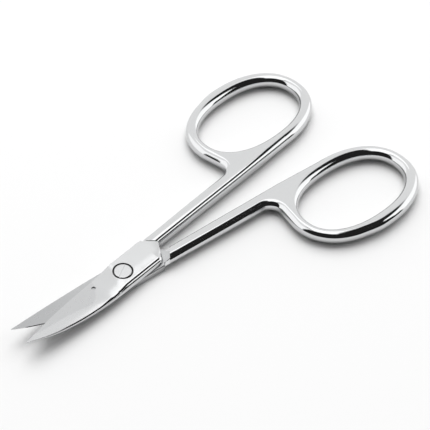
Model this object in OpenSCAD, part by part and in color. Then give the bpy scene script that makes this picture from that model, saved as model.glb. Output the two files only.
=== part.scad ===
// Curved cuticle scissors: two forged halves that cross at one pivot screw.
// X runs from the blade tips to the finger loops, and Z is the pivot axis.
// The origin lies under the pivot, on the plane that the scissors rest on.
// Each half is drawn closed, with its own loop on +Y, and then turned open.

/* [Pose] */
// Angle between the two halves as photographed, in degrees
open_angle = 9.2; // [4:0.2:30]

/* [Blades] */
// Distance from the pivot to the tips
blade_reach = 25.8; // [22:0.1:32]
// How far each tip passes the centre line when the blades are closed
tip_overlap = 0.2; // [0:0.05:0.6]
// Distance from the pivot to the start of the cutting edge
edge_start = 5.2; // [4.6:0.1:6]
// Radius of the curved back in plan
back_radius = 100; // [80:5:160]
// Distance from the pivot at which the blades begin to thin
thin_start = 5; // [4.5:0.1:5.1]
// Distance from the pivot at which the blades begin to curve upwards
bend_start = 5.5; // [5.2:0.1:8]
// Radius of the upward curve
bend_radius = 80; // [60:5:160]
// Thickness of the back at the tip
tip_t = 0.4; // [0.3:0.05:0.6]
// How early the back thins towards the tip, where a larger number is earlier
thinning = 2.5; // [2:0.1:3.5]
// Thickness left along the cutting edge
edge_t = 0.06; // [0.04:0.01:0.12]
// Slope of the ground face behind the cutting edge, in degrees
grind_angle = 7; // [5:0.5:10]
// Distance from the pivot to the inner end of the flat part of the ground face
grind_start = 7; // [6.4:0.1:8.5]
// Radius of the hollow where the ground face runs out towards the joint
runout_radius = 19; // [12:1:30]
// Radius of the small relief pit at the heel of the ground face
pit_r = 0.45; // [0.3:0.05:0.6]
// Depth of the relief pit below the ground face
pit_depth = 0.12; // [0.05:0.01:0.2]

/* [Joint] */
// Width of the flat joint plates
joint_w = 6; // [5.4:0.1:7]
// Thickness of the upper joint plate
upper_plate_t = 1.15; // [1:0.05:1.3]
// Gap between the sliding faces of the two halves
sliding_gap = 0.1; // [0.06:0.01:0.14]
// Distance from the pivot to the shoulder of each shank
shoulder_dist = 9.2; // [8.6:0.1:10.5]
// Direction that the shoulder faces away from the centre line, in degrees
shoulder_angle = 36; // [25:1:45]
// Distance from the pivot to the fine step ahead of the shoulder
step_dist = 7.8; // [7.2:0.1:8.6]
// Room between a shoulder and the other half's heel when closed
shoulder_clear = 0.9; // [0.5:0.1:1.2]
// Radius of the heel's outer corner
heel_corner_r = 1.3; // [0.8:0.1:1.8]
// Width of the bevel along the side and heel of the upper plate
bevel_w = 0.45; // [0.2:0.05:0.6]
// Height of the upright wall below that bevel
bevel_base = 0.2; // [0.1:0.05:0.4]

/* [Screw] */
// Diameter of the screw head
head_d = 3.5; // [3:0.1:4]
// Height of the screw head
head_h = 0.58; // [0.4:0.02:0.62]
// Radial gap round the head
head_gap = 0.2; // [0.1:0.05:0.3]
// Diameter of the bearing shank under the head
bearing_d = 2.4; // [2:0.1:2.8]
// Radial running clearance of the bearing shank
bearing_clear = 0.04; // [0.02:0.01:0.08]
// Diameter of the threaded end
thread_d = 1.8; // [1.4:0.1:1.9]
// Radial clearance of the threaded end
thread_clear = 0.01; // [0.01:0.01:0.04]
// Clearance under the head
head_clear = 0.02; // [0.01:0.01:0.05]
// Depth of the screw's end below the resting face
end_recess = 0.1; // [0.05:0.05:0.3]
// Width of the driver slot
slot_w = 0.5; // [0.4:0.05:0.7]
// Depth of the driver slot
slot_depth = 0.25; // [0.15:0.05:0.35]

/* [Shanks] */
// Width of a shank
shank_w = 3; // [2.6:0.1:3.4]
// Thickness of a shank
shank_t = 2.7; // [2.5:0.05:2.75]
// Corner radius of a shank's section
shank_corner_r = 0.8; // [0.4:0.05:1]
// Half of the gap between the two shanks when closed
side_gap = 0.15; // [0.1:0.05:0.3]

/* [Finger loops] */
// Diameter of the loop's round section
wire_d = 3; // [2.76:0.02:3.2]
// Length of the finger hole
hole_length = 25.2; // [22:0.2:30]
// Width of the finger hole
hole_width = 15.6; // [14:0.2:20]
// Distance from the pivot to the middle of the finger hole
loop_dist = 50.2; // [48:0.2:60]
// Tilt of the hole's long axis, in degrees
hole_tilt = -2.5; // [-6:0.5:0]
// Squareness of the hole's oval, where 2 is an ellipse
hole_power = 2.2; // [2:0.05:2.6]
// How fast the loop's outer side leans in on its way down to the shank
neck_lean = 0.13; // [0:0.01:0.25]
// Radius of the hollow corner between the loop and the shank
neck_r = 2.5; // [1:0.1:3]

/* [Hidden] */
$fn = 64;

// Fineness of the shapes that are worked out point by point
bend_steps = 8;
ring_steps = 64;
corner_arc_steps = 6;
edge_steps = 4;
large_circle_fn = 360;

// Levels, measured from the plane between the two halves
mid_z = wire_d / 2;
half_gap = sliding_gap / 2;
upper_top = half_gap + upper_plate_t;
lower_bottom = -mid_z;
lower_plate_t = mid_z - half_gap;
shank_half_t = shank_t / 2;
wire_r = wire_d / 2;
// How far the cutting blocks reach, and how far shapes run past what they meet
cut = blade_reach;
margin = 0.5;
// How deep shapes sink into each other where they run together
sink = 0.05;

// Plan of a half
half_joint = joint_w / 2;
back_side = -half_joint;
shank_outer = side_gap + shank_w;
shank_mid = side_gap + shank_w / 2;
heel_dist = shoulder_dist - shoulder_clear;
step_turn = 8;
step_angle = shoulder_angle + step_turn;
blade_split = -sqrt(pow(thin_start, 2) - pow(half_joint, 2));
neck_x = loop_dist - hole_length / 2 - wire_d;
hole_mid_y = side_gap + wire_d + hole_width / 2;

// The blade thins smoothly from the joint to the tip
function plate_t(side) = side > 0 ? upper_plate_t : lower_plate_t;
function blade_rise(r) = r <= bend_start ? 0 : pow(r - bend_start, 2) / (2 * bend_radius);
function reach_share(r) = max(0, min(1, (blade_reach - r) / (blade_reach - thin_start)));
function back_t(r, side) = tip_t + (plate_t(side) - tip_t) * pow(reach_share(r), thinning);

// Radii at which the blade's surfaces of revolution are drawn
past_tip = blade_reach + 2 * margin;
bend_radii = [for (i = [0:bend_steps]) bend_start + (past_tip - bend_start) * i / bend_steps];

// The cutting edge runs along this chord, and bulges from it by edge_bulge
edge_run = blade_reach - edge_start;
edge_drop = half_joint + tip_overlap;
chord_angle = atan(edge_drop / edge_run);
half_chord = norm([edge_run, edge_drop]) / 2;
// The edge's arc leaves the heel along the blade and ends at the tip
edge_radius = (pow(edge_run, 2) + pow(edge_drop, 2)) / (2 * edge_drop);
edge_bulge = edge_radius - sqrt(pow(edge_radius, 2) - pow(half_chord, 2));
// Where the bulge's tangent, which the ground face follows, crosses the pivot's cross line
grind_line_y = half_joint + edge_drop / edge_run * edge_start + edge_bulge / cos(chord_angle);
grind_steps = 5;
pit_x = -grind_start + pit_r;
pit_y = half_joint / 2;

// Rounded corner between the plate's back side and its slanted heel
heel_steps = 6;
heel_step_angle = (90 - shoulder_angle) / heel_steps;
heel_corner_y = back_side + heel_corner_r;
heel_corner_x = (heel_dist - heel_corner_r + sin(shoulder_angle) * heel_corner_y) / cos(shoulder_angle);
heel_corner = [heel_corner_x, heel_corner_y];
heel_x = (heel_dist + sin(shoulder_angle) * shank_mid) / cos(shoulder_angle);

function arc_points(centre, r, from, to, steps) =
  [for (i = [0:steps]) centre + r * [cos(from + (to - from) * i / steps), sin(from + (to - from) * i / steps)]];

// Centre of a circle of radius r that touches two others, found from its distances to their centres
function circle_centre(a, b, ra, rb) =
  let (d = norm(b - a), along = (ra * ra - rb * rb + d * d) / (2 * d), away = sqrt(ra * ra - along * along),
       dir = (b - a) / d)
  a + dir * along + [-dir[1], dir[0]] * away;

// Finger hole: a superellipse in its own tilted frame, with its outward normal
function signed_power(v, p) = sign(v) * pow(abs(v), p);
function hole_radius(a) =
  pow(pow(abs(cos(a)) / (hole_length / 2), hole_power) + pow(abs(sin(a)) / (hole_width / 2), hole_power),
      -1 / hole_power);
function turned(v, a) = [v[0] * cos(a) - v[1] * sin(a), v[0] * sin(a) + v[1] * cos(a)];
function hole_point(a) = [loop_dist, hole_mid_y] + turned(hole_radius(a) * [cos(a), sin(a)], hole_tilt);
function hole_normal(a) =
  let (p = hole_radius(a) * [cos(a), sin(a)],
       g = [signed_power(p[0], hole_power - 1) / pow(hole_length / 2, hole_power),
            signed_power(p[1], hole_power - 1) / pow(hole_width / 2, hole_power)])
  turned(g / norm(g), hole_tilt);

// On the side towards the shank the loop widens into a web: its outer side leans along the neck
// line, turns through a hollow corner into the shank, and comes back along the shank's inner line
function in_web(n) = n[0] < 0 && n[1] < 0;
function neck_line(y) = neck_x + neck_lean * (hole_mid_y - y);
function to_neck(p, n) = (p[0] - neck_line(p[1])) / -(n[0] + neck_lean * n[1]);
function to_inner_line(p, n) = (p[1] - side_gap) / -n[1];
function ring_width(p, n) = in_web(n) ? max(wire_d, min(to_neck(p, n), to_inner_line(p, n))) : wire_d;
function ring_pair(a) = let (p = hole_point(a), n = hole_normal(a)) [p, p + n * ring_width(p, n)];

// The hollow corner ends a little inside the shank
corner_y = shank_outer + neck_r - sink;
corner_x = neck_line(corner_y) - neck_r;
corner_from = max([for (a = [180:270]) if (ring_pair(a)[1][1] > corner_y + margin) a]);
corner_to = min([for (a = [180:270]) if (ring_pair(a)[1][1] < side_gap + sink
                                         && ring_pair(a)[1][0] > corner_x + shank_w) a]);
corner_path = concat(
  arc_points([corner_x, corner_y], neck_r, 0, -90, corner_arc_steps),
  [for (x = [0:2]) [corner_x + x * shank_w / 3, side_gap]]);
corner_count = len(corner_path);

// Each section of the loop runs from a point on the hole's wall to one on the outer wall
ring_turn = 360 - corner_to + corner_from;
loop_pairs = concat(
  [for (i = [0:ring_steps]) ring_pair(corner_to + ring_turn * i / ring_steps)],
  [for (i = [0:corner_count - 1])
    [hole_point(corner_from + (corner_to - corner_from) * (i + 1) / (corner_count + 1)), corner_path[i]]]);

// The web's edges are as sharp as the shank's, and the wire is round
web_corner_r = shank_corner_r + wire_r - shank_half_t;
function edge_r(w) = wire_r - (wire_r - web_corner_r) * min(1, (w - wire_d) / wire_d);

// Outline of one section, as points in space
function section_points(pair) =
  let (p = pair[0], q = pair[1], w = norm(q - p), d = (q - p) / w, m = (p + q) / 2,
       r = edge_r(w), x0 = w / 2 - r, z0 = wire_r - r, step = 90 / (edge_steps + 1))
  [for (k = [0:3], i = [0:edge_steps])
    let (t = 90 * k + step * i, sx = sign(round(cos(t) * 1000)), sz = sign(round(sin(t) * 1000)),
         s = x0 * sx + r * cos(t), z = z0 * sz + r * sin(t))
    [m[0] + d[0] * s, m[1] + d[1] * s, z]];

module finger_loop() {
  per = 4 * (edge_steps + 1);
  count = len(loop_pairs);
  points = [for (pair = loop_pairs) each section_points(pair)];
  faces = [for (i = [0:count - 1], j = [0:per - 1])
    let (i2 = (i + 1) % count, j2 = (j + 1) % per,
         a = i * per + j, b = i * per + j2, c = i2 * per + j2, d = i2 * per + j)
    each [[a, b, c], [a, c, d]]];
  polyhedron(points, faces);
}

// Rounded bar from under the joint to inside the loop's web
module shank_bar() {
  from = step_dist - shank_w;
  inset = shank_w / 2 - shank_corner_r;
  drop = shank_half_t - shank_corner_r;
  translate([from, shank_mid, 0])
    rotate([90, 0, 90])
      linear_extrude(neck_x + shank_w - from) {
        square([shank_w, 2 * drop], center = true);
        square([2 * inset, shank_t], center = true);
        for (x = [-inset, inset], y = [-drop, drop]) translate([x, y]) circle(shank_corner_r);
      }
}

// Everything on the pivot's side of a slanted line, drawn as a block between two levels
module pivot_side(dist, angle, low, high) {
  rotate([0, 0, angle])
    translate([dist - 2 * cut, -cut, low])
      cube([2 * cut, 2 * cut, high - low]);
}

// The shank is cut back to the shoulder where the other half's plate passes,
// and by a fine step on the outer side, where the joint is ground flat
module shank(side) {
  difference() {
    shank_bar();
    pivot_side(step_dist, step_angle, -cut, cut);
    pivot_side(shoulder_dist, shoulder_angle, side > 0 ? -cut : -half_gap, side > 0 ? half_gap : cut);
  }
}

// Flat joint plate, with its heel slanted parallel to the other half's shoulder
module plate_plan() {
  polygon(concat(
    [[blade_split, half_joint], [blade_split, back_side]],
    arc_points(heel_corner, heel_corner_r, -90, -shoulder_angle, heel_steps),
    [[heel_x, shank_mid], [heel_dist, shank_outer]]));
}

module blade_plan() {
  heel = [-edge_start, half_joint];
  tip = [-blade_reach, -tip_overlap];
  back_start = [blade_split, back_side];
  intersection() {
    translate([-blade_reach, -half_joint]) square([blade_reach + blade_split, joint_w]);
    translate([-edge_start, half_joint - edge_radius]) circle(edge_radius, $fn = large_circle_fn);
    translate(circle_centre(tip, back_start, back_radius, back_radius))
      circle(back_radius, $fn = large_circle_fn);
  }
}

// Radial profile of a blade, between its sliding face and its outer face
module blade_profile(side) {
  sliding = [for (r = bend_radii) [r, side * half_gap + blade_rise(r)]];
  outer = [for (i = [bend_steps:-1:0])
    let (r = bend_radii[i]) [r, side * (half_gap + back_t(r, side)) + blade_rise(r)]];
  polygon(concat([[0, side * half_gap]], sliding, outer,
                 [[thin_start, side * (half_gap + plate_t(side))], [0, side * (half_gap + plate_t(side))]]));
}

// The ground face behind the cutting edge: it follows the blade's curve and runs out in a hollow
module ground_face(side) {
  from = -past_tip - margin;
  runout_from = grind_start - sqrt(2 * runout_radius * (plate_t(side) + margin));
  runout = [for (i = [grind_steps:-1:0])
    let (d = (grind_start - runout_from) * i / grind_steps)
    [-grind_start + d, half_gap + edge_t + side * blade_rise(grind_start) + d * d / (2 * runout_radius)]];
  along = [for (r = bend_radii) if (r > grind_start) [-r, half_gap + edge_t + side * blade_rise(r)]];
  far = half_gap + edge_t + side * blade_rise(past_tip);
  translate([0, grind_line_y, 0])
    rotate([-side * grind_angle, 0, chord_angle])
      rotate([90, 0, 0])
        linear_extrude(4 * joint_w, center = true)
          polygon([for (p = concat([[runout[0][0], cut]], runout, along, [[from, far], [from, cut]]))
            [p[0], side * p[1]]]);
}

// A blade, cut from a body of revolution about the pivot so that it slides clear at any angle
module blade(side) {
  difference() {
    intersection() {
      rotate_extrude() blade_profile(side);
      translate([0, 0, -cut]) linear_extrude(2 * cut) blade_plan();
    }
    ground_face(side);
  }
}

module half_plate(side) {
  low = side > 0 ? half_gap : lower_bottom;
  difference() {
    translate([0, 0, low]) linear_extrude(plate_t(side)) plate_plan();
    ground_face(side);
  }
}

// Slanted faces round the upper plate, from its back side past the corner to its heel
module plate_bevels() {
  lean = atan(bevel_w / (upper_plate_t - bevel_base));
  chord_dist = heel_corner_r * cos(heel_step_angle / 2);
  bevel(-90, heel_corner_r, lean);
  bevel(-shoulder_angle, heel_corner_r, lean);
  for (i = [0.5:heel_steps - 0.5]) bevel(-90 + i * heel_step_angle, chord_dist, lean);
}

// Takes off everything beyond a leaning plane that faces the given direction
module bevel(direction, dist, lean) {
  translate([heel_corner_x, heel_corner_y, half_gap + bevel_base])
    rotate([0, 0, direction])
      translate([dist, 0, 0])
        rotate([0, -lean, 0])
          translate([0, -cut, -cut])
            cube([cut, 2 * cut, 2 * cut]);
}

// Turns a half from its closed drawing to its photographed place and height
module opened(side) {
  translate([0, 0, mid_z])
    rotate([0, 0, side * open_angle / 2])
      mirror([0, side > 0 ? 0 : 1, 0])
        children();
}

// Upper half: its blade lies on top, with a seat for the screw head
module upper_half() {
  color("gainsboro")
    opened(1)
      difference() {
        union() {
          finger_loop();
          shank(1);
          difference() {
            half_plate(1);
            plate_bevels();
          }
          blade(1);
        }
        translate([0, 0, -cut]) cylinder(h = 2 * cut, r = bearing_d / 2 + bearing_clear);
        translate([0, 0, upper_top - head_h - head_clear])
          cylinder(h = cut, r = head_d / 2 + head_gap);
        translate([pit_x, pit_y, half_gap + edge_t + pit_depth]) cylinder(h = cut, r = pit_r);
      }
}

// Lower half: its blade lies underneath, and the screw is threaded into it
module lower_half() {
  color("silver")
    opened(-1)
      difference() {
        union() {
          finger_loop();
          shank(-1);
          half_plate(-1);
          blade(-1);
        }
        translate([0, 0, -cut]) cylinder(h = 2 * cut, r = thread_d / 2 + thread_clear);
      }
}

// Shouldered pivot screw: flush slotted head, bearing shank, threaded end
module pivot_screw() {
  color("whitesmoke")
    translate([0, 0, mid_z])
      difference() {
        union() {
          translate([0, 0, lower_bottom + end_recess])
            cylinder(h = lower_plate_t - end_recess, r = thread_d / 2);
          translate([0, 0, -half_gap]) cylinder(h = upper_top - head_h + half_gap, r = bearing_d / 2);
          translate([0, 0, upper_top - head_h]) cylinder(h = head_h, r = head_d / 2);
        }
        translate([0, 0, upper_top]) cube([2 * head_d, slot_w, 2 * slot_depth], center = true);
      }
}

lower_half();
upper_half();
pivot_screw();
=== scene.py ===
# %% [markdown]
# # Curved cuticle scissors
# Two forged steel halves cross at one flush screw. The construction model gives the
# measured solids and the joint. This script gives the same halves their polished
# and ground surfaces, piece by piece, and photographs them.
# Blender works in metres, and the construction model's frame is kept: the origin lies
# on the floor under the pivot, X runs from the tips to the loops, and Z is the pivot.

# %% Load the construction model
import math

import bmesh
import bpy
from mathutils import Matrix, Vector


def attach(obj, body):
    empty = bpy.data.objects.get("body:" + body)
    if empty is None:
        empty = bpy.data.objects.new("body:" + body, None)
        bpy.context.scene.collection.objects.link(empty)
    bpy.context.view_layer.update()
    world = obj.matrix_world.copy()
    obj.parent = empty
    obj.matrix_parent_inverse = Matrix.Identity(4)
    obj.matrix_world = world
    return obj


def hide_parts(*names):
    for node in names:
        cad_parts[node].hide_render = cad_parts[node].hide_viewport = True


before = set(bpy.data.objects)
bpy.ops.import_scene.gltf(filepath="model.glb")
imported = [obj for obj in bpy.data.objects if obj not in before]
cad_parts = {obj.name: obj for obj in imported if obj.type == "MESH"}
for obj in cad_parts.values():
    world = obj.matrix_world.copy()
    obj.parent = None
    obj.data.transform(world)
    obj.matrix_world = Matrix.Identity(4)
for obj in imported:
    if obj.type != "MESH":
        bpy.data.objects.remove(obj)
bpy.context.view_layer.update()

mm = 0.001

# %% [markdown]
# ## The camera
# The photograph looks down at the scissors from the side of the tips, at 47 degrees.
# A camera can be aimed with a Track To constraint, but the photograph was also taken
# with a small roll. So the camera's axes are worked out from three angles, which were
# found by matching fourteen points of the scissors with the photograph.

# %% Place the camera
camera_azimuth, camera_elevation, camera_roll = 223.507, 46.843, 3.403
camera_place = Vector((-134.531, -151.204, 234.998)) * mm
lens, sensor_width = 133.709, 36

def compass(azimuth, elevation):
    """The direction that lies this far round from +X, and this far up."""
    a, e = math.radians(azimuth), math.radians(elevation)
    return Vector((math.cos(a) * math.cos(e), math.sin(a) * math.cos(e), math.sin(e)))

def place_camera():
    camera = bpy.data.objects.new("camera", bpy.data.cameras.new("camera"))
    bpy.context.scene.collection.objects.link(camera)
    back = compass(camera_azimuth, camera_elevation)
    level = compass(camera_azimuth + 90, 0)
    upright = back.cross(level)
    roll = math.radians(camera_roll)
    right = level * math.cos(roll) + upright * math.sin(roll)
    up = upright * math.cos(roll) - level * math.sin(roll)
    axes = Matrix((right, up, back)).transposed().to_4x4()
    camera.matrix_world = Matrix.Translation(camera_place) @ axes
    camera.data.lens = lens
    camera.data.sensor_width = sensor_width
    camera.data.clip_start = 0.01
    camera.data.clip_end = 10
    bpy.context.scene.camera = camera
    return camera

camera = place_camera()
print("camera at", [round(c / mm, 1) for c in camera.location], "mm")

# %% [markdown]
# ## The floor
# The scissors lie on white paper, which shows their shadow. A backdrop that glows would
# be white more easily, but it would swallow the shadow. So the paper is a plain matt
# white plane, and the lamp is as strong as it takes to make it white in the picture.

# %% Lay the paper
def new_material(name):
    material = bpy.data.materials.new(name)
    material.use_nodes = True
    tree = material.node_tree
    tree.nodes.clear()
    return material, tree

def make_floor():
    bpy.ops.object.select_all(action="DESELECT")
    bpy.ops.mesh.primitive_plane_add(size=4, location=(0, 0, -0.02 * mm))
    floor = bpy.context.object
    floor.name = "floor"
    bpy.ops.object.transform_apply(location=True)
    material, tree = new_material("white paper")
    output = tree.nodes.new("ShaderNodeOutputMaterial")
    paper = tree.nodes.new("ShaderNodeBsdfDiffuse")
    paper.inputs["Color"].default_value = (0.88, 0.88, 0.88, 1)
    tree.links.new(paper.outputs[0], output.inputs["Surface"])
    floor.data.materials.append(material)
    return floor

floor = make_floor()
print("floor laid just under the scissors, at z =", round(floor.data.vertices[0].co.z / mm, 2), "mm")

# %% [markdown]
# ## The room that the steel mirrors
# Polished steel shows its surroundings more than itself. The white bands along the
# scissors are softboxes and white walls, and the black bands along the near sides are
# the dark room behind the camera. An evenly white world would make the steel look like
# grey plastic. So the world is a dark room with lit panels, each given by the directions
# that it covers. The panels stay where they are when the camera moves.

# %% Node helpers for directions
def math_node(tree, operation, a, b=None):
    """A Math node, whose inputs are numbers or other nodes' outputs."""
    node = tree.nodes.new("ShaderNodeMath")
    node.operation = operation
    for socket, value in zip(node.inputs, (a, b)):
        if isinstance(value, (int, float)):
            socket.default_value = value
        elif value is not None:
            tree.links.new(value, socket)
    return node.outputs[0]

def ramp(tree, value, start, end, first=0.0, last=1.0):
    """Goes softly from first to last while value goes from start to end."""
    node = tree.nodes.new("ShaderNodeMapRange")
    node.interpolation_type = "SMOOTHSTEP"
    node.inputs["From Min"].default_value = start
    node.inputs["From Max"].default_value = end
    node.inputs["To Min"].default_value = first
    node.inputs["To Max"].default_value = last
    tree.links.new(value, node.inputs["Value"])
    return node.outputs["Result"]

def between(tree, value, low, high, soft, soft_high=None):
    """1 where value lies between low and high, with soft edges."""
    far = soft if soft_high is None else soft_high
    rising = ramp(tree, value, low - soft, low + soft)
    falling = ramp(tree, value, high + far, high - far)
    return math_node(tree, "MULTIPLY", rising, falling)

def direction_parts(tree, azimuth):
    """The three parts of the direction looked in, turned so that X points this far round."""
    direction = tree.nodes.new("ShaderNodeTexCoord")
    turn = tree.nodes.new("ShaderNodeMapping")
    turn.inputs["Rotation"].default_value = (0, 0, math.radians(-azimuth))
    tree.links.new(direction.outputs["Generated"], turn.inputs["Vector"])
    split = tree.nodes.new("ShaderNodeSeparateXYZ")
    tree.links.new(turn.outputs[0], split.inputs[0])
    return split.outputs

room_azimuth = 43.5
print("the room is drawn round azimuth", room_azimuth, "where the camera looks")

# %% Panels of the room
side_azimuth = -20
wall_soft, height_soft = 2.5, 2
no_lower_edge = -170
overhead_sides, overhead_ends = (-0.19, 0.30), (-0.22, 0.88)
side_upper, side_upper_ends = (-0.58, 0.45), (0.45, 1.2)
side_lower, side_lower_ends = (-0.46, 0.45), (0.03, 1.2)
dark_room, white_wall = 0.02, 1.12
overhead_strength, side_strength, left_strength = 1.7, 1.6, 1.5
tiny = 0.001

def wall(tree, round_angle, height, from_angle, to_angle, low, high):
    """A wall between two angles round the room and two heights, all in degrees."""
    r = math.radians
    width = between(tree, round_angle, r(from_angle), r(to_angle), r(wall_soft))
    return math_node(tree, "MULTIPLY", width, between(tree, height, r(low), r(high), r(height_soft)))

def rectangle(tree, across, upward, sides, ends, soft_sides, soft_ends, far_end=None):
    """A flat panel, with its edges given as shares of its distance from the scissors."""
    width = between(tree, across, *sides, soft_sides)
    return math_node(tree, "MULTIPLY", width, between(tree, upward, *ends, soft_ends, far_end))

def overhead_box(tree, x, y, z):
    up = math_node(tree, "MAXIMUM", z, tiny)
    along = math_node(tree, "DIVIDE", x, up)
    aside = math_node(tree, "DIVIDE", y, up)
    box = rectangle(tree, aside, along, overhead_sides, overhead_ends, 0.02, 0.03, 0.10)
    above = ramp(tree, z, math.sin(0.58), math.sin(0.62))
    return math_node(tree, "MULTIPLY", box, above)

def side_box(tree):
    x, y, z = direction_parts(tree, side_azimuth)
    front = math_node(tree, "MAXIMUM", x, tiny)
    across = math_node(tree, "DIVIDE", y, front)
    upward = math_node(tree, "DIVIDE", z, front)
    upper = rectangle(tree, across, upward, side_upper, side_upper_ends, 0.02, 0.03)
    lower = rectangle(tree, across, upward, side_lower, side_lower_ends, 0.02, 0.03)
    return math_node(tree, "MAXIMUM", upper, lower)

def room_light(tree, x, y, z):
    """How bright the room is in each direction, as the steel mirrors it."""
    round_angle = math_node(tree, "ARCTAN2", y, x)
    height = math_node(tree, "ARCSINE", z)
    panels = (
        (overhead_box(tree, x, y, z), overhead_strength),
        (wall(tree, round_angle, height, -75, 122, no_lower_edge, 50), white_wall),
        (wall(tree, round_angle, height, 2, 122, 20, 70), white_wall),
        (side_box(tree), side_strength),
        (wall(tree, round_angle, height, 55, 122, 2, 58), left_strength),
    )
    level = dark_room
    for panel, strength in panels:
        level = math_node(tree, "MAXIMUM", math_node(tree, "MULTIPLY", panel, strength), level)
    return level, len(panels)

print("side box faces the scissors from azimuth", side_azimuth)

# %% [markdown]
# The paper needs a softer light than the mirror bands. So the world gives its panels
# only to rays that the steel mirrors, and a plain glow from the far side to all others.
# The camera itself sees white where the paper ends.

# %% Light the world
near_glow, far_glow = 0.08, 1.05

def make_world():
    world = bpy.data.worlds.new("studio")
    bpy.context.scene.world = world
    world.use_nodes = True
    tree = world.node_tree
    tree.nodes.clear()
    x, y, z = direction_parts(tree, room_azimuth)
    mirrored, panel_count = room_light(tree, x, y, z)
    glow = ramp(tree, x, -0.45, 0.35, near_glow, far_glow)
    path = tree.nodes.new("ShaderNodeLightPath")
    difference = math_node(tree, "SUBTRACT", mirrored, glow)
    difference = math_node(tree, "MULTIPLY", difference, path.outputs["Is Glossy Ray"])
    studio = tree.nodes.new("ShaderNodeBackground")
    studio.inputs["Color"].default_value = (1, 1, 1, 1)
    tree.links.new(math_node(tree, "ADD", difference, glow), studio.inputs["Strength"])
    white = tree.nodes.new("ShaderNodeBackground")
    white.inputs["Color"].default_value = (1, 1, 1, 1)
    white.inputs["Strength"].default_value = 1.0
    seen = tree.nodes.new("ShaderNodeMixShader")
    output = tree.nodes.new("ShaderNodeOutputWorld")
    tree.links.new(path.outputs["Is Camera Ray"], seen.inputs["Fac"])
    tree.links.new(studio.outputs[0], seen.inputs[1])
    tree.links.new(white.outputs[0], seen.inputs[2])
    tree.links.new(seen.outputs[0], output.inputs["Surface"])
    return panel_count

bpy.context.scene.view_settings.view_transform = "Standard"
print("world with", make_world(), "lit panels")

# %% [markdown]
# The shadows fall towards the camera and are soft, so they come from one large softbox
# on the far side. A small lamp nearer by would give hard shadows and an uneven floor.
# The steel mirrors the world's panels already, so it doesn't mirror this lamp as well.

# %% Hang the softbox
lamp_azimuth, lamp_elevation = 48, 56
lamp_distance, lamp_size, lamp_power = 1.4, 1.2, 15.2

def hang_softbox():
    lamp = bpy.data.objects.new("softbox", bpy.data.lights.new("softbox", "AREA"))
    bpy.context.scene.collection.objects.link(lamp)
    lamp.data.shape = "SQUARE"
    lamp.data.size = lamp_size
    lamp.data.energy = lamp_power
    lamp.location = compass(lamp_azimuth, lamp_elevation) * lamp_distance
    aim = Vector((20 * mm, 0, 0)) - lamp.location
    lamp.rotation_euler = aim.to_track_quat("-Z", "Y").to_euler()
    lamp.visible_glossy = False
    return lamp

softbox = hang_softbox()
print("softbox", lamp_size, "m wide, at", [round(c, 2) for c in softbox.location], "m")

# %% [markdown]
# ## Finishes
# The steel has four finishes. The loops, shanks and edges are mirror-polished, with
# fine hairlines left by the buffing wheel. The flats round the screw are lapped to a
# silky grey. The faces behind the cutting edges are ground, with short scratches that
# run across the blade, and the sliding faces are darker, with scratches along it. All
# are one metal shader. It could be coloured noise, but real scratches have no colour of
# their own, so the noise only changes the roughness and tilts the surface a little.

# %% Steel with a pattern of scratches
scratch_detail, scratch_roughness = 6.0, 0.62
cloud_detail = 3.0
least_wear, most_wear = 0.12, 0.42

def noise(tree, vector, scale, detail):
    node = tree.nodes.new("ShaderNodeTexNoise")
    node.inputs["Scale"].default_value = scale
    node.inputs["Detail"].default_value = detail
    tree.links.new(vector, node.inputs["Vector"])
    return node

def steel(name, colour, rough_low, rough_high, scratch_scale, scratch_depth, cloud_scale, turn=0.0):
    """Metal with scratches, which run along the axis that has the smallest scale."""
    material, tree = new_material(name)
    metal = tree.nodes.new("ShaderNodeBsdfPrincipled")
    metal.inputs["Base Color"].default_value = (*colour, 1)
    metal.inputs["Metallic"].default_value = 1.0
    where = tree.nodes.new("ShaderNodeTexCoord")
    turned_round = tree.nodes.new("ShaderNodeMapping")
    turned_round.inputs["Rotation"].default_value = (0, 0, turn)
    tree.links.new(where.outputs["Object"], turned_round.inputs["Vector"])
    stretch = tree.nodes.new("ShaderNodeVectorMath")
    stretch.operation = "MULTIPLY"
    stretch.inputs[1].default_value = scratch_scale
    tree.links.new(turned_round.outputs["Vector"], stretch.inputs[0])
    scratches = noise(tree, stretch.outputs[0], 1.0, scratch_detail)
    scratches.inputs["Roughness"].default_value = scratch_roughness
    clouds = noise(tree, where.outputs["Object"], cloud_scale, cloud_detail)
    wear = math_node(tree, "MULTIPLY", scratches.outputs["Fac"], clouds.outputs["Fac"])
    rough = tree.nodes.new("ShaderNodeMapRange")
    rough.inputs["From Min"].default_value = least_wear
    rough.inputs["From Max"].default_value = most_wear
    rough.inputs["To Min"].default_value = rough_low
    rough.inputs["To Max"].default_value = rough_high
    tree.links.new(wear, rough.inputs["Value"])
    tree.links.new(rough.outputs["Result"], metal.inputs["Roughness"])
    bump = tree.nodes.new("ShaderNodeBump")
    bump.inputs["Strength"].default_value = 1.0
    bump.inputs["Distance"].default_value = scratch_depth * mm
    tree.links.new(scratches.outputs["Fac"], bump.inputs["Height"])
    tree.links.new(bump.outputs["Normal"], metal.inputs["Normal"])
    output = tree.nodes.new("ShaderNodeOutputMaterial")
    tree.links.new(metal.outputs[0], output.inputs["Surface"])
    return material

# %% Polished, lapped, ground and inner steel, and near-black steel that paints shade
polished_steel = steel("polished steel", (0.61, 0.615, 0.62), 0.05, 0.12, (600, 9000, 9000), 0.0012, 400)
lapped_steel = steel("lapped steel", (0.585, 0.59, 0.595), 0.16, 0.26, (9000, 1500, 1500), 0.0012, 500)
ground_steel = steel("ground steel", (0.53, 0.535, 0.54), 0.26, 0.36, (9000, 700, 700), 0.004, 900, turn=0.3)
inner_steel = steel("inner face steel", (0.44, 0.445, 0.45), 0.26, 0.38, (700, 9000, 9000), 0.006, 900)
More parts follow.
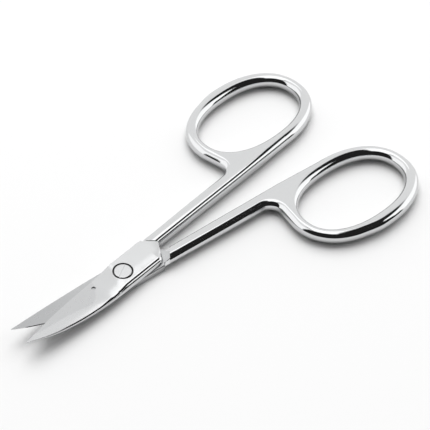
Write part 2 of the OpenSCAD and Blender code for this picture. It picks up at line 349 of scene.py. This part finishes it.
# near-black steel for the narrow gap round the screw's head: painted shade in the recess
painted_shade_steel = steel("painted shade steel", (0.10, 0.10, 0.10), 0.35, 0.5, (5000, 5000, 5000), 0.004, 2000)
finishes = (polished_steel, lapped_steel, ground_steel, inner_steel, painted_shade_steel)
print("finishes:", [m.name for m in finishes])

# %% [markdown]
# ## Measurements of a half
# A half is drawn closed, as in the construction model: its loop lies on +Y, and heights
# are measured from the plane between the two halves. Lengths are in millimetres here,
# because the numbers are easier to read, and are turned to metres where a point is made.

# %% Measurements that both the handle and the blade need
open_angle = math.radians(9.2)
mid_height = 1.5
half_gap = 0.05
shoulder_angle = math.radians(36)

def unit(angle):
    return Vector((math.cos(angle), math.sin(angle)))

def turned(v, angle):
    """The vector v, turned in the plane."""
    c, s = math.cos(angle), math.sin(angle)
    return Vector((v.x * c - v.y * s, v.x * s + v.y * c))

def smooth(t):
    """Goes softly from 0 to 1 while t does, and stays there."""
    t = max(0.0, min(1.0, t))
    return t * t * (3 - 2 * t)

print("the plane between the halves is", mid_height, "mm up, with a gap of", half_gap * 2, "mm")

# %% The finger hole's oval
wire_d = 3.0
wire_r = wire_d / 2
hole_half_l, hole_half_w, hole_power = 12.6, 7.8, 2.2
hole_mid = Vector((50.2, 10.95))
hole_tilt = math.radians(-2.5)

def hole_point(angle):
    """A point of the finger hole's oval, which is a little squarer than an ellipse."""
    u = unit(angle)
    r = ((abs(u.x) / hole_half_l) ** hole_power + (abs(u.y) / hole_half_w) ** hole_power) ** (-1 / hole_power)
    return hole_mid + turned(u * r, hole_tilt)

def hole_normal(angle):
    """The direction away from the hole at that point."""
    u = unit(angle)
    across = math.copysign(abs(u.x) ** (hole_power - 1), u.x) / hole_half_l ** hole_power
    aside = math.copysign(abs(u.y) ** (hole_power - 1), u.y) / hole_half_w ** hole_power
    return turned(Vector((across, aside)).normalized(), hole_tilt)

print("finger hole", hole_half_l * 2, "x", hole_half_w * 2, "mm, middle at", tuple(hole_mid))

# %% [markdown]
# ## The handle: loop, web and shank
# On the real scissors a half is forged from one bar, and buffed until the round loop
# flows into the flat-topped shank without a seam. Separate rings and bars would show
# a line where they meet, and a mirror finish makes any such line stand out. So the
# handle is one skin: its two outlines, round the outside and round the finger hole,
# are drawn at mid-height, and their edges are extruded again and again up and over
# until they nearly meet on top. What is left between them is filled flat.

# %% The outline round the outside
side_gap = 0.15
shank_far, shank_thinner = 3.35, 0.22
thinner_from, thinner_run = 27.0, 19.0
neck_x, neck_lean, neck_r = 34.6, 0.13, 2.5
straight_side = (5.0, 8.0, 11.0, 14.0, 18.0, 22.0, 26.0, 30.0, 33.0, 36.0, 38.0, 40.0, 42.0, 44.0, 46.0, 48.0)
far_side = (30.0, 27.0, 24.0, 21.0, 18.0, 15.0, 12.0, 9.0, 5.0)
buffed_off = 0.04
loop_slimming, slim_from, slim_to, slim_blend = 0.3, 1.7, 3.3, 0.5

def neck_line(y):
    """The neck's edge, which leans a little towards the joint."""
    return neck_x + neck_lean * (hole_mid.y - y)

def loop_side():
    """Points round the loop, from the straight side to where the neck leaves it."""
    points = []
    neck_direction = Vector((-1, -neck_lean)).normalized()
    for i in range(200):
        angle = math.radians(-87 + i * 1.5)
        n = hole_normal(angle)
        if angle > math.pi / 2 and n.cross(neck_direction) < 0:
            break
        slimmer = smooth((angle - slim_from) / slim_blend) * smooth((slim_to - angle) / slim_blend)
        points.append(hole_point(angle) + n * (wire_d - buffed_off - loop_slimming * slimmer))
    return points

def neck_hollow(last):
    """Points down the neck and round the hollow where it meets the shank."""
    lean = math.atan(neck_lean)
    corner_y = shank_far + neck_r
    corner = Vector((neck_line(corner_y) - neck_r / math.cos(lean), corner_y))
    first = corner + unit(lean) * neck_r
    points = [last.lerp(first, i / 6) for i in range(1, 6)]
    for i in range(13):
        points.append(corner + unit(lean + (-math.pi / 2 - lean) * i / 12) * neck_r)
    return points

def outer_outline():
    points = [Vector((x, side_gap)) for x in straight_side]
    points += loop_side()
    points += neck_hollow(points[-1])
    for x in far_side:
        points.append(Vector((x, shank_far - shank_thinner * smooth((thinner_from - x) / thinner_run))))
    return points

outline = outer_outline()
print("outer outline:", len(outline), "points, reaching x =", round(max(p.x for p in outline), 2), "mm")

# %% [markdown]
# The section changes along the handle. Round the loop it is a wire, a little squarer
# than a circle. Along the shank it is a flat bar with rounded edges and a slightly
# crowned top. Blending the two by a share keeps the skin free of a seam between them.

# %% Heights over the edge
wire_power = 2.25
shank_half_t = 1.42
near_edge_r, far_edge_r = 0.75, 1.2
crown, crown_width = 0.15, 1.45
joint_step, step_from, step_run = 0.13, 28.0, 20.0
rise_from, rise_run = 30.0, 8.0
near_side_y = 1.0
bar_end, bar_blend = 50.0, 12.0
web_side, web_blend = 10.2, 5.5
web_end = hole_mid.x - 6

def flat_share(p, on_hole):
    """0 where the section is a round wire, 1 where it is a flat bar with rounded edges."""
    if on_hole or (p.y >= near_side_y and p.x > web_end):
        return 0.0
    if p.y < near_side_y:
        return smooth((bar_end - p.x) / bar_blend)
    return smooth((web_side - p.y) / web_blend)

def bar_top(p):
    """The bar rises to the wire's height at the loop, and thins towards the joint."""
    near_joint = joint_step * smooth((step_from - p.x) / step_run)
    return shank_half_t - near_joint + (wire_r - shank_half_t) * smooth((p.x - rise_from) / rise_run)

def edge_height(d, p, on_hole):
    """Height of the skin at distance d from the outline."""
    share = flat_share(p, on_hole)
    height = wire_r * (1 - (1 - min(d, wire_r) / wire_r) ** wire_power) ** (1 / wire_power)
    if share > 0:
        r = near_edge_r if p.y < near_side_y else far_edge_r
        inside = max(0.0, r - d)
        bar = bar_top(p) - r + math.sqrt(max(0.0, r * r - inside * inside))
        bar -= crown * (1 - min(d, crown_width) / crown_width) ** 2
        height += (bar - height) * share
    return height if height > 0.02 else 0.0

print("top of the shank:", round(bar_top(Vector((8.0, 0))), 2), "mm at the joint,",
      round(bar_top(Vector((40.0, 0))), 2), "mm at the loop")

# %% Draw the two rings of the upper skin
ring_angles = (0, 9, 18, 27, 36, 45, 54, 63, 71, 78, 83)
ring_steps = [wire_r * (1 - math.cos(math.radians(a))) for a in ring_angles]

def outline_normals(points, inward):
    """For each point, the direction into the steel, lengthened so that lines stay parallel."""
    normals = []
    for i, p in enumerate(points):
        before = (p - points[i - 1]).normalized()
        after = (points[(i + 1) % len(points)] - p).normalized()
        middle = (before + after).normalized()
        n = Vector((-middle.y, middle.x)) * inward
        normals.append(n / max(0.5, math.sqrt((1 + before.dot(after)) / 2)))
    return normals

def draw_ring(name, points, on_hole, inward):
    """One outline as a circle of edges, extruded step by step up and over the edge."""
    bpy.ops.object.select_all(action="DESELECT")
    bpy.ops.mesh.primitive_circle_add(vertices=len(points), radius=mm)
    ring = bpy.context.object
    ring.name = name
    normals = outline_normals(points, inward)
    station = ring.data.attributes.new("station", "INT", "POINT")
    for i, p in enumerate(points):
        ring.data.vertices[i].co = (p.x * mm, p.y * mm, 0)
        station.data[i].value = i
    bpy.ops.object.mode_set(mode="EDIT")
    bpy.ops.mesh.select_mode(type="EDGE")
    bpy.ops.mesh.select_all(action="SELECT")
    for d in ring_steps:
        bpy.ops.mesh.extrude_edges_move()
        mesh = bmesh.from_edit_mesh(ring.data)
        layer = mesh.verts.layers.int["station"]
        for v in mesh.verts:
            if v.select:
                i = v[layer]
                q = points[i] + normals[i] * d
                v.co = (q.x * mm, q.y * mm, edge_height(d, points[i], on_hole) * mm)
        bmesh.update_edit_mesh(ring.data)
    bpy.ops.object.mode_set(mode="OBJECT")
    return ring

# the hole itself is a little longer and narrower than the oval that the outside follows
oval_half_l, oval_half_w, oval_power = 12.8, 7.6, 2.25
oval_mid = hole_mid + Vector((0, -0.1))

def oval_point(angle):
    u = unit(angle)
    r = ((abs(u.x) / oval_half_l) ** oval_power + (abs(u.y) / oval_half_w) ** oval_power) ** (-1 / oval_power)
    return oval_mid + turned(u * r, hole_tilt)

outer_ring = draw_ring("handle", outline, False, 1)
hole_ring = draw_ring("hole", [oval_point(math.radians(i * 2)) for i in range(180)], True, -1)
print("rings drawn with", len(outer_ring.data.vertices), "and", len(hole_ring.data.vertices), "corners")

# %% [markdown]
# The flat top between the two rings is one fill between their last edges. The underside
# is a copy of the upper skin, turned over by a scale of -1, and its normals are then
# recalculated, because such a scale leaves them pointing inwards.

# %% Fill the top and close the underside
weld = 0.002

def select_only(*objects):
    bpy.ops.object.select_all(action="DESELECT")
    for o in objects:
        o.select_set(True)
    bpy.context.view_layer.objects.active = objects[0]

def close_handle(*rings):
    select_only(*rings)
    bpy.ops.object.join()
    handle = bpy.context.object
    bpy.ops.object.mode_set(mode="EDIT")
    bpy.ops.mesh.select_mode(type="EDGE")
    bpy.ops.mesh.select_all(action="DESELECT")
    mesh = bmesh.from_edit_mesh(handle.data)
    for e in mesh.edges:
        e.select = e.is_boundary and min(v.co.z for v in e.verts) > 1.0 * mm
    bmesh.update_edit_mesh(handle.data)
    bpy.ops.mesh.fill(use_beauty=True)
    bpy.ops.mesh.select_all(action="SELECT")
    bpy.ops.mesh.remove_doubles(threshold=weld * mm)
    bpy.ops.mesh.duplicate()
    bpy.ops.transform.resize(value=(1, 1, -1), center_override=(0, 0, 0))
    bpy.ops.mesh.select_all(action="SELECT")
    bpy.ops.mesh.remove_doubles(threshold=weld * mm)
    bpy.ops.mesh.normals_make_consistent(inside=False)
    bpy.ops.object.mode_set(mode="OBJECT")
    handle.data.materials.append(polished_steel)
    return handle

def report(o):
    """Print how many faces a piece has, whether it is closed, and its volume."""
    mesh = bmesh.new()
    mesh.from_mesh(o.data)
    open_edges = sum(1 for e in mesh.edges if not e.is_manifold)
    volume = round(mesh.calc_volume() * 1e9, 1)
    print(o.name + ":", len(mesh.faces), "faces,", open_edges, "open edges,", volume, "mm3")
    mesh.free()

handle = close_handle(outer_ring, hole_ring)
report(handle)

# %% [markdown]
# The shank's joint end is cut twice. A slanting plane ends it at the fine step in
# front of the joint, which Bisect does. On the sliding side a shoulder is milled out
# for the other half's plate to pass, which a Boolean with a turned block does.

# %% Cut the shank's end
step_angle, step_distance = math.radians(44), 7.8
block_size = Vector((20, 24, 6))
block_distance = -0.8

def carve(target, tool):
    """Take the tool's shape out of the target, and throw the tool away."""
    select_only(target)
    cut = target.modifiers.new("carve", "BOOLEAN")
    cut.operation = "DIFFERENCE"
    cut.solver = "EXACT"
    cut.object = tool
    cut.material_mode = "TRANSFER"
    bpy.ops.object.modifier_apply(modifier=cut.name)
    bpy.data.objects.remove(tool, do_unlink=True)

def cut_shank(handle):
    select_only(handle)
    bpy.ops.object.mode_set(mode="EDIT")
    bpy.ops.mesh.select_all(action="SELECT")
    n = unit(step_angle).to_3d()
    bpy.ops.mesh.bisect(plane_co=n * step_distance * mm, plane_no=n, use_fill=True, clear_inner=True)
    bpy.ops.object.mode_set(mode="OBJECT")

def mill_shoulder(handle):
    bpy.ops.object.select_all(action="DESELECT")
    bpy.ops.mesh.primitive_cube_add(size=1)
    block = bpy.context.object
    block.name = "milling block"
    block.scale = block_size * mm
    middle = unit(shoulder_angle) * block_distance
    block.location = Vector((middle.x, middle.y, half_gap - block_size.z / 2)) * mm
    block.rotation_euler = (0, 0, shoulder_angle)
    bpy.ops.object.transform_apply(location=True, rotation=True, scale=True)
    carve(handle, block)

cut_shank(handle)
mill_shoulder(handle)
report(handle)

# %% [markdown]
# ## The blade and joint plate
# A blade narrows, thins and curves upwards towards its tip. Its sliding face is turned
# about the pivot, so that it slides past the other blade at any angle. A flat grid is
# laid over the blade's plan, from the back to the cutting edge, and each corner of the
# grid gets its height from its distance to the pivot. Extruding the grid down to the
# sliding face closes it. A bent and scaled cube would be quicker, but its sliding face
# would cut into the other blade as soon as the scissors close.

# %% The plan of a blade
blade_reach = 25.8
tip_overlap = 0.2
half_joint = 3.0
edge_start, edge_drop = 5.2, 3.2
back_radius = 100.0
blade_split = -4.0
edge_run = blade_reach - edge_start
half_chord = math.hypot(edge_run, edge_drop) / 2
edge_radius = (edge_run ** 2 + edge_drop ** 2) / (2 * edge_drop)

def edge_y(x):
    """The cutting edge, and the straight side of the joint plate behind it."""
    if x > -edge_start:
        return half_joint
    return half_joint - edge_radius + math.sqrt(max(0.0, edge_radius ** 2 - (x + edge_start) ** 2))

def back_centre():
    """Middle of the arc that the blade's back follows, from the tip to the joint plate."""
    tip, joint = Vector((-blade_reach, -tip_overlap)), Vector((blade_split, -half_joint))
    chord = joint - tip
    away = math.sqrt(back_radius ** 2 - chord.length_squared / 4)
    return (tip + joint) / 2 + Vector((-chord.y, chord.x)).normalized() * away

back_middle = back_centre()

def back_y(x):
    return back_middle.y - math.sqrt(back_radius ** 2 - (x - back_middle.x) ** 2)

print("cutting edge radius", round(edge_radius, 1), "mm, blade", round(edge_y(-10) - back_y(-10), 2),
      "mm wide 10 mm from the pivot")

# %% Heights of a blade
bend_start, bend_radius = 5.5, 80.0
thin_start, tip_t, thinning = 5.0, 0.4, 2.5

def rise(r):
    """How far the blade has curved up at this distance from the pivot."""
    return max(0.0, r - bend_start) ** 2 / (2 * bend_radius)

def back_t(r, plate_t):
    """Thickness of a blade's back, which starts to thin without a crease."""
    share = max(0.0, min(1.0, (blade_reach - r) / (blade_reach - thin_start)))
    return plate_t - (plate_t - tip_t) * (1 - share ** thinning) * smooth((r - thin_start) / 5.0)

print("tip rises", round(rise(blade_reach), 2), "mm and is", tip_t, "mm thick at its back")

# %% [markdown]
# A grinding wheel takes a slanting flat off the outer face behind the cutting edge, and
# leaves a hollow of its own radius where it runs out towards the joint. The crease
# where it stops is then buffed away. A Boolean would leave that crease sharp, so the
# ground surface is worked out for each corner of the grid, and a soft lower-of-two
# picks between it and the plain one.

# %% The ground surface
grind_angle = math.radians(7)
grind_start, runout_radius = 7.0, 19.0
buffing = 0.22
chord_angle = math.atan2(edge_drop, edge_run)
edge_bulge = edge_radius - math.sqrt(edge_radius ** 2 - half_chord ** 2)
grind_line_y = half_joint + edge_drop / edge_run * edge_start + edge_bulge / math.cos(chord_angle)

def wheel_height(u, side, edge_t):
    """Height of the wheel's path above the middle plane, at this place along the blade."""
    height = half_gap + edge_t
    if u < -grind_start:
        return height + side * rise(-u)
    return height + side * rise(grind_start) + (u + grind_start) ** 2 / (2 * runout_radius)

def slanted(height, across):
    return height / math.cos(grind_angle) - across * math.tan(grind_angle)

def ground_height(p, side, edge_t):
    q = turned(p - Vector((0, grind_line_y)), -chord_angle)
    return slanted(wheel_height(q.x, side, edge_t), q.y)

def soft_lower(a, b):
    """The lower of two heights, with the crease between them buffed away."""
    near = max(0.0, 1 - abs(a - b) / buffing)
    return min(a, b) - near * near * buffing / 4

print("ground face slants by", round(math.degrees(grind_angle)), "degrees")

# %% Sections from the back to the cutting edge
heel_distance, heel_corner_r = 8.35, 1.3
heel_length = 4.53
blade_step, tip_step, tip_zone = 0.24, 0.1, -25
blunt_tip = 0.04
swell_run = 7.0
widest_bevel = 0.2
plate_sections, corner_sections, heel_sections = 34, 12, 10
rim_share, narrow_at, narrowing_length = 0.34, -9.5, 6.5
heel_narrowing = 0.62
# where the sections of the side, of the corner and of the heel end on the plate's far side
side_end, corner_end, heel_turn = 6.0, 7.0, 7.94
far_corner_start, far_corner_end = Vector((8.2, 2.5)), Vector((10.5, 2.1))

def bevel_width(x, bevel):
    """The bevel of the plate's side narrows to a thin rim along the blade."""
    return bevel * (rim_share + (1 - rim_share) * smooth((x - narrow_at) / narrowing_length))

def back_sections(bevel, swell):
    """Along the blade: a point on the back, one inside the bevel, and one on the edge."""
    sections = []
    x = -blade_reach + blunt_tip
    while x < blade_split - 0.01:
        slope = Vector((1, (back_y(x + 0.05) - back_y(x)) / 0.05)).normalized()
        wider = swell * smooth((x + blade_reach) / swell_run)
        low = Vector((x, back_y(x) - wider))
        high = Vector((x, edge_y(x)))
        width = min(bevel_width(x, bevel), (high.y - low.y) * widest_bevel)
        sections.append((low, low + Vector((-slope.y, slope.x)) * width, high))
        x += blade_step if x > tip_zone else tip_step
    return sections

def plate_side_sections(bevel, side_y, corner_x):
    sections = []
    for i in range(plate_sections + 1):
        t = i / plate_sections
        low = Vector((blade_split + (corner_x - blade_split) * t, side_y))
        high = Vector((blade_split + (side_end - blade_split) * t, half_joint))
        sections.append((low, low + Vector((0, bevel)), high))
    return sections

def corner_round_sections(bevel, corner):
    sections = []
    for i in range(1, corner_sections + 1):
        a = -math.pi / 2 + (math.pi / 2 - shoulder_angle) * i / corner_sections
        low = corner + unit(a) * heel_corner_r
        high = Vector((side_end + (corner_end - side_end) * i / corner_sections, half_joint))
        sections.append((low, low - unit(a) * bevel, high))
    return sections

def heel_high_point(i):
    """The far ends of the heel's sections, which turn the plate's far corner."""
    if i <= 5:
        return Vector((corner_end + (heel_turn - corner_end) * i / 5, half_joint))
    return far_corner_start.lerp(far_corner_end, (i - 6) / (heel_sections - 6))

def heel_side_sections(bevel, corner):
    sections = []
    outward = unit(-shoulder_angle)
    start = corner + outward * heel_corner_r
    along = Vector((math.sin(shoulder_angle), math.cos(shoulder_angle)))
    for i in range(1, heel_sections + 1):
        low = start + along * (heel_length * i / heel_sections)
        width = bevel * (1 - heel_narrowing * smooth(i / 5))
        sections.append((low, low - outward * width, heel_high_point(i)))
    return sections

def blade_sections(bevel, swell):
    side_y = -half_joint - swell
    corner_y = side_y + heel_corner_r
    from_pivot = heel_distance - heel_corner_r
    corner_x = (from_pivot + math.sin(shoulder_angle) * corner_y) / math.cos(shoulder_angle)
    corner = Vector((corner_x, corner_y))
    return (back_sections(bevel, swell) + plate_side_sections(bevel, side_y, corner_x)
            + corner_round_sections(bevel, corner) + heel_side_sections(bevel, corner))

print("share of the bevel's width left at the tip:", round(bevel_width(-blade_reach, 1), 2))

# %% [markdown]
# The near side of the joint plate has a wide soft bevel, and the blade's back only a
# thin rim. A Bevel modifier makes one width and one shape everywhere. So each section
# carries its own bevel: a list of points, as shares of its width and of its height.

# %% Shape a blade
# each point is the share of the bevel's width, and the share of its height
plate_bevel = ((0, 0.02), (0.02, 0.08), (0.10, 0.40), (0.14, 0.50), (0.19, 0.60), (0.25, 0.675),
               (0.38, 0.79), (0.50, 0.87), (0.62, 0.93), (0.74, 0.97), (0.88, 0.993), (1, 1))
blade_rim = ((0, 0.02), (0.02, 0.10), (0.06, 0.56), (0.11, 0.72), (0.16, 0.80), (0.22, 0.84),
             (0.32, 0.87), (0.45, 0.90), (0.60, 0.935), (0.74, 0.96), (0.88, 0.985), (1, 1))
rows_across = 18
top_row = len(plate_bevel) - 1
rows = rows_across + len(plate_bevel)
edge_crown, crown_reach = 0.12, 1.8
edge_land, land_share = 0.15, 0.05
rim_from, rim_blend = -2.0, 4.0
thinnest = 0.9

def blade_inner(p, side):
    return side * half_gap + rise(p.length)

def blade_outer(p, side, plate_t, edge_t):
    """Height of the outer face: the plain one or the ground one, whichever is lower."""
    if p.x > 0:
        plain = side * (half_gap + plate_t)
    else:
        plain = side * (half_gap + back_t(p.length, plate_t)) + rise(p.length)
    lower = soft_lower(side * plain, ground_height(p, side, edge_t))
    return side * max(lower, side * blade_inner(p, side) + edge_t * thinnest)

def grid_corner(section, row, side, plate_t, edge_t):
    """Place of one corner of the grid, which lies on the bevel or on the outer face."""
    low, inset, high = section
    if row < top_row:
        rim = smooth((rim_from - low.x) / rim_blend) if side > 0 else 0.0
        inward, upward = [a + (b - a) * rim for a, b in zip(plate_bevel[row], blade_rim[row])]
        p = low.lerp(inset, inward)
        top = blade_outer(inset, side, plate_t, edge_t) - side * edge_crown
        return p, blade_inner(p, side) + (top - blade_inner(inset, side)) * upward
    p = inset.lerp(high, (row - top_row) / (rows - 1 - top_row))
    if row == rows - 2:
        width = (inset - high).length
        p = high + (inset - high).normalized() * min(edge_land, width * land_share)
    lowered = edge_crown * max(0.0, 1 - (p - inset).length / crown_reach) ** 2
    return p, blade_outer(p, side, plate_t, edge_t) - side * lowered

def close_blade(blade, side, edge_round):
    """Extrude the outer face down to the sliding face, and round the cutting edge there."""
    bpy.ops.object.mode_set(mode="EDIT")
    bpy.ops.mesh.select_mode(type="FACE")
    bpy.ops.mesh.select_all(action="SELECT")
    bpy.ops.mesh.extrude_region_move()
    mesh = bmesh.from_edit_mesh(blade.data)
    layer = mesh.verts.layers.int["row"]
    for v in mesh.verts:
        if v.select:
            v.co.z = blade_inner(Vector((v.co.x / mm, v.co.y / mm)), side) * mm
            if v[layer] == rows - 1:
                v.co.z += side * edge_round * mm
    bmesh.update_edit_mesh(blade.data)
    bpy.ops.mesh.select_all(action="SELECT")
    bpy.ops.mesh.normals_make_consistent(inside=False)
    bpy.ops.object.mode_set(mode="OBJECT")

def make_blade(name, side, plate_t, bevel, swell, edge_t, edge_round):
    """A blade with its joint plate. side is 1 for the upper half and -1 for the lower one."""
    sections = blade_sections(bevel, swell)
    columns = len(sections)
    bpy.ops.object.select_all(action="DESELECT")
    bpy.ops.mesh.primitive_grid_add(x_subdivisions=columns - 1, y_subdivisions=rows - 1, size=2)
    blade = bpy.context.object
    blade.name = name
    for finish in finishes:
        blade.data.materials.append(finish)
    row_of = blade.data.attributes.new("row", "INT", "POINT")
    for v in blade.data.vertices:
        column = round((v.co.x + 1) / 2 * (columns - 1))
        row = round((v.co.y + 1) / 2 * (rows - 1))
        row_of.data[v.index].value = row
        p, z = grid_corner(sections[column], row, side, plate_t, edge_t)
        v.co = (p.x * mm, p.y * mm, z * mm)
    for face in blade.data.polygons:
        on_bevel = min(face.vertices) // columns < top_row
        face.material_index = finishes.index(polished_steel if on_bevel else lapped_steel)
    close_blade(blade, side, edge_round)
    return blade

upper_t, upper_bevel, upper_swell = 1.15, 1.0, 0.45
lower_t, lower_bevel = 1.45, 0.25
upper_edge_t, lower_edge_t, lower_edge_round = 0.06, 0.2, 0.12
upper_blade = make_blade("upper blade", 1, upper_t, upper_bevel, upper_swell, upper_edge_t, 0.0)
lower_blade = make_blade("lower blade", -1, lower_t, lower_bevel, 0.0, lower_edge_t, lower_edge_round)
report(upper_blade)
report(lower_blade)

# %% Finishes of a blade's faces
facing_in, facing_sideways = -0.75, 0.5

def finish_blade(blade, side):
    """Polished sides, a lapped joint flat, and a satin sliding face."""
    for face in blade.data.polygons:
        outward = face.normal.z * side
        if outward < facing_in:
            face.material_index = finishes.index(inner_steel)
        elif outward < facing_sideways:
            face.material_index = finishes.index(polished_steel)

finish_blade(upper_blade, 1)
finish_blade(lower_blade, -1)
satin = finishes.index(inner_steel)
print("satin faces:", sum(1 for f in upper_blade.data.polygons if f.material_index == satin))

# %% [markdown]
# The last pass of the wheel leaves a duller face with a clear outline, straight along
# the blade and round towards the joint. It is cut as on the real one: a sheet on the
# wheel's path, a hundredth of a millimetre deeper, is thickened away from the blade,
# trimmed to the outline, and taken out with a Boolean, which hands over its finish.

# %% Grind the last pass
pass_depth = 0.012
facet_r, facet_mid = 7.0, Vector((-12.3, 5.1))
path_start, path_end, path_half_width = -27.0, 0.9, 12.0
sheet_height = 6.0

def wheel_path(side, edge_t, finish):
    bpy.ops.object.select_all(action="DESELECT")
    bpy.ops.mesh.primitive_grid_add(x_subdivisions=89, y_subdivisions=3, size=2)
    wheel = bpy.context.object
    wheel.name = "wheel path"
    wheel.data.materials.append(finish)
    for v in wheel.data.vertices:
        u = path_start + (v.co.x + 1) / 2 * (path_end - path_start)
        w = v.co.y * path_half_width
        z = slanted(wheel_height(u, side, edge_t - pass_depth), w)
        p = turned(Vector((u, w)), chord_angle) + Vector((0, grind_line_y))
        v.co = (p.x * mm, p.y * mm, side * z * mm)
    bpy.ops.object.mode_set(mode="EDIT")
    bpy.ops.mesh.select_mode(type="FACE")
    bpy.ops.mesh.select_all(action="SELECT")
    bpy.ops.mesh.extrude_region_move(TRANSFORM_OT_translate={"value": (0, 0, side * sheet_height * mm)})
    bpy.ops.mesh.select_all(action="SELECT")
    bpy.ops.mesh.normals_make_consistent(inside=False)
    bpy.ops.object.mode_set(mode="OBJECT")
    return wheel

def facet_outline(finish):
    """The round inner end of the ground face, as an upright block that reaches past the tip."""
    bpy.ops.object.select_all(action="DESELECT")
    bpy.ops.mesh.primitive_cylinder_add(vertices=192, radius=facet_r * mm, depth=20 * mm,
                                        location=(facet_mid.x * mm, facet_mid.y * mm, 0))
    block = bpy.context.object
    block.name = "facet outline"
    bpy.ops.object.transform_apply(location=True)
    block.data.materials.append(finish)
    for v in block.data.vertices:
        if v.co.x < facet_mid.x * mm:
            v.co.x -= 30 * mm
    return block

def grind(blade, side, edge_t):
    wheel = wheel_path(side, edge_t, ground_steel)
    block = facet_outline(ground_steel)
    select_only(wheel)
    keep = wheel.modifiers.new("keep", "BOOLEAN")
    keep.operation = "INTERSECT"
    keep.solver = "EXACT"
    keep.object = block
    bpy.ops.object.modifier_apply(modifier=keep.name)
    bpy.data.objects.remove(block, do_unlink=True)
    carve(blade, wheel)

grind(upper_blade, 1, upper_edge_t)
grind(lower_blade, -1, lower_edge_t)
report(upper_blade)
report(lower_blade)

# %% [markdown]
# The joint is bored last, as in the workshop: a clear hole with a wider seat for the
# screw's head in the upper plate, a smaller hole for the thread in the lower one, and
# the small punched pit beside the screw.

# %% Bore the joint
clear_r, seat_r, seat_floor = 1.24, 2.05, 0.6
thread_r = 0.9
pit_r, pit_floor, pit_place = 0.45, 0.12, (-6.55, 1.5)

def bore(target, radius, low, high, finish, centre=(0, 0)):
    bpy.ops.object.select_all(action="DESELECT")
    middle = Vector((*centre, (low + high) / 2))
    bpy.ops.mesh.primitive_cylinder_add(vertices=96, radius=radius * mm, depth=(high - low) * mm,
                                        location=middle * mm)
    drill = bpy.context.object
    drill.name = "drill"
    bpy.ops.object.transform_apply(location=True)
    drill.data.materials.append(finish)
    carve(target, drill)

bore(upper_blade, clear_r, -1, 3, polished_steel)
# the seat's cut faces get the near-black steel, which paints the shade in the ring round the head
bore(upper_blade, seat_r, seat_floor, 3, painted_shade_steel)
# the pit's cut faces get the darker satin steel, as painted shade in its hollow
bore(upper_blade, pit_r, pit_floor, 3, inner_steel, pit_place)
bore(lower_blade, thread_r + 0.01, -3, 1, polished_steel)
report(upper_blade)
report(lower_blade)

# %% [markdown]
# ## Two halves from one handle
# Both halves are forged in the same dies, so the handle is modelled once and copied.
# The lower half's copy is turned over about X, which swaps its sides and puts its
# shoulder on top. Each half is then joined with its own blade and opened by half of
# the angle in the photograph. Smooth shading alone would smear light over the large
# flat faces next to a curve, so Weighted Normal lets the large faces set the normals.

# %% Assemble the halves
sharp_angle = math.radians(28)

def smooth_shade(o):
    select_only(o)
    bpy.ops.object.shade_smooth_by_angle(angle=sharp_angle)
    even = o.modifiers.new("even normals", "WEIGHTED_NORMAL")
    even.keep_sharp = True
    even.weight = 80
    bpy.ops.object.modifier_apply(modifier=even.name)

def put_together(name, handle, blade, side, body, node):
    select_only(handle, blade)
    bpy.ops.object.join()
    half = bpy.context.object
    half.name = name
    opened = Matrix.Rotation(side * open_angle / 2, 4, "Z")
    half.data.transform(Matrix.Translation((0, 0, mid_height * mm)) @ opened)
    smooth_shade(half)
    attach(half, body)
    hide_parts(node)
    return half

select_only(handle)
bpy.ops.object.duplicate()
lower_handle = bpy.context.object
lower_handle.data.transform(Matrix.Rotation(math.pi, 4, "X"))
lower_blade.data.transform(Matrix.Scale(-1, 4, (0, 1, 0)))
lower_blade.data.flip_normals()
upper_half = put_together("upper_steel", handle, upper_blade, 1, "upper", "upper_half")
lower_half = put_together("lower_steel", lower_handle, lower_blade, -1, "lower", "lower_half")
report(upper_half)
report(lower_half)

# %% [markdown]
# ## The pivot screw
# The screw's head sits flush in the upper plate, with a narrow ring round it, and has
# a straight driver slot. Under the head it is a bearing, and its thinner end is
# threaded into the lower half. Spin could turn its outline, but leaves a pole in the
# middle of the head. So a filled circle is extruded up and widened level by level, and
# the slot is a Boolean with a narrow block.

# %% Turn the screw
bearing_r, head_r = 1.2, 1.72
head_bottom, head_top = 2.12, 2.7
foot_r, foot_z = 0.8, 0.1
slot_width, slot_depth, slot_angle = 0.4, 0.08, math.radians(27)
# height and radius of each level above the foot
screw_levels = (
    (0.2, thread_r), (1.45, thread_r), (1.45, bearing_r), (head_bottom, bearing_r),
    (head_bottom, head_r - 0.04), (2.17, head_r), (2.64, head_r), (2.68, head_r - 0.03),
    (head_top, head_r - 0.08), (head_top, 1.5), (head_top, 0.9))

def turn_screw():
    bpy.ops.object.select_all(action="DESELECT")
    bpy.ops.mesh.primitive_circle_add(vertices=96, radius=foot_r * mm, fill_type="NGON",
                                      location=(0, 0, foot_z * mm))
    screw = bpy.context.object
    screw.name = "slotted_screw"
    bpy.ops.object.transform_apply(location=True)
    bpy.ops.object.mode_set(mode="EDIT")
    bpy.ops.mesh.select_mode(type="FACE")
    bpy.ops.mesh.select_all(action="SELECT")
    z, r = foot_z, foot_r
    for next_z, next_r in screw_levels:
        bpy.ops.mesh.extrude_region_move(TRANSFORM_OT_translate={"value": (0, 0, (next_z - z) * mm)})
        bpy.ops.transform.resize(value=(next_r / r, next_r / r, 1), center_override=(0, 0, 0))
        z, r = next_z, next_r
    bpy.ops.mesh.select_all(action="SELECT")
    bpy.ops.mesh.normals_make_consistent(inside=False)
    bpy.ops.object.mode_set(mode="OBJECT")
    screw.data.materials.append(lapped_steel)
    return screw

def cut_slot(screw):
    bpy.ops.object.select_all(action="DESELECT")
    bpy.ops.mesh.primitive_cube_add(size=1, location=(0, 0, head_top * mm))
    driver = bpy.context.object
    driver.name = "driver blade"
    driver.scale = Vector((4 * head_r, slot_width, 2 * slot_depth)) * mm
    driver.rotation_euler = (0, 0, slot_angle)
    bpy.ops.object.transform_apply(location=True, rotation=True, scale=True)
    driver.data.materials.append(lapped_steel)
    carve(screw, driver)

screw = turn_screw()
cut_slot(screw)
smooth_shade(screw)
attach(screw, "lower")
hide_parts("pivot_screw")
report(screw)
